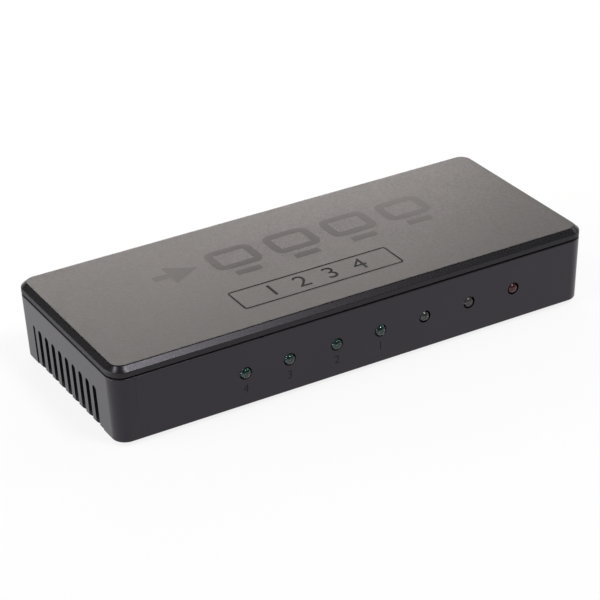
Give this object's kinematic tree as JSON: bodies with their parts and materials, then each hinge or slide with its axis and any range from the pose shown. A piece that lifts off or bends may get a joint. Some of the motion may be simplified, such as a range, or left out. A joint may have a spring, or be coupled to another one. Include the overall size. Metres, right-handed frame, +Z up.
{
  "type": "video splitter box",
  "caption": "Flat black plastic box that shares one video source between several screens, with indicator lamps along the front, end vents, and video sockets and a power jack behind.",
  "frame": {"origin": "under the middle of the case, on the surface that the rubber feet stand on", "axes": "+X along the length, to the right as seen from the front; +Y to the rear, where the sockets are; +Z up"},
  "size_m": [0.132, 0.0546, 0.0212],
  "materials": {
    "case_plastic": "fine spark-textured moulded plastic, satin",
    "cover_plastic": "spark-textured flat top with a polished bevel",
    "foot_rubber": "matte soft rubber",
    "screw_steel": "zinc plated",
    "board_laminate": "green solder mask over glass laminate",
    "socket_steel": "bright nickel plated sheet",
    "socket_insulator": "black moulded insulator",
    "contact_gold": "gold flashed copper alloy",
    "jack_plastic": "black moulded plastic",
    "pin_metal": "nickel plated brass",
    "spring_bronze": "plain phosphor bronze strip",
    "lamp_green": "green tinted epoxy, unlit",
    "lamp_pale_green": "pale green tinted epoxy, unlit",
    "lamp_clear": "hazy clear epoxy, unlit",
    "lamp_red": "red tinted epoxy, unlit",
    "lead_tin": "tinned wire",
    "chip_epoxy": "black moulding compound",
    "pad_silicone": "pale blue-grey silicone",
    "sink_aluminium": "extruded, plain",
    "can_metal": "drawn can",
    "ferrite": "dark ferrite",
    "fuse_green": "green polymer",
    "chip_ceramic": "brown ceramic"
  },
  "bodies": {
    "splitter": {"bottom_shell": "case_plastic", "top_cover": "cover_plastic", "rubber_feet": "foot_rubber", "case_screws": "screw_steel", "board_screws": "screw_steel", "main_board": "board_laminate", "dc_jack_body": "jack_plastic", "dc_jack_pin": "pin_metal", "lamp_leads": "lead_tin", "splitter_chip": "chip_epoxy", "splitter_chip_pins": "lead_tin", "thermal_pad": "pad_silicone", "heat_sink": "sink_aluminium", "crystal": "can_metal", "memory_chips": "chip_epoxy", "memory_chip_pins": "lead_tin", "regulators": "chip_epoxy", "regulator_leads": "lead_tin", "capacitor_bases": "socket_insulator", "capacitor_cans": "can_metal", "power_inductor": "ferrite", "input_fuse": "fuse_green", "input_diode": "chip_epoxy", "lamp_resistors": "chip_epoxy", "bypass_capacitors": "chip_ceramic", "surge_arrays": "chip_epoxy", "video_out_4_shell": "socket_steel", "video_out_4_insert": "socket_insulator", "video_out_4_contacts": "contact_gold", "video_out_3_shell": "socket_steel", "video_out_3_insert": "socket_insulator", "video_out_3_contacts": "contact_gold", "video_out_2_shell": "socket_steel", "video_out_2_insert": "socket_insulator", "video_out_2_contacts": "contact_gold", "video_out_1_shell": "socket_steel", "video_out_1_insert": "socket_insulator", "video_out_1_contacts": "contact_gold", "video_in_shell": "socket_steel", "video_in_insert": "socket_insulator", "video_in_contacts": "contact_gold", "lamp_out_4": "lamp_green", "lamp_out_3": "lamp_green", "lamp_out_2": "lamp_green", "lamp_out_1": "lamp_green", "lamp_in": "lamp_pale_green", "lamp_link": "lamp_clear", "lamp_power": "lamp_red"},
    "jack_spring": {"dc_jack_spring": "spring_bronze"}
  },
  "joints": [
    {"name": "jack_spring_flex", "type": "hinge", "parent": "splitter", "child": "jack_spring", "pos_m": [0.04305, 0.01518, 0.0118], "axis": [0, 0, 1], "range_deg": [0, 4.5], "stiffness_Nm_per_rad": 0.02}
  ]
}
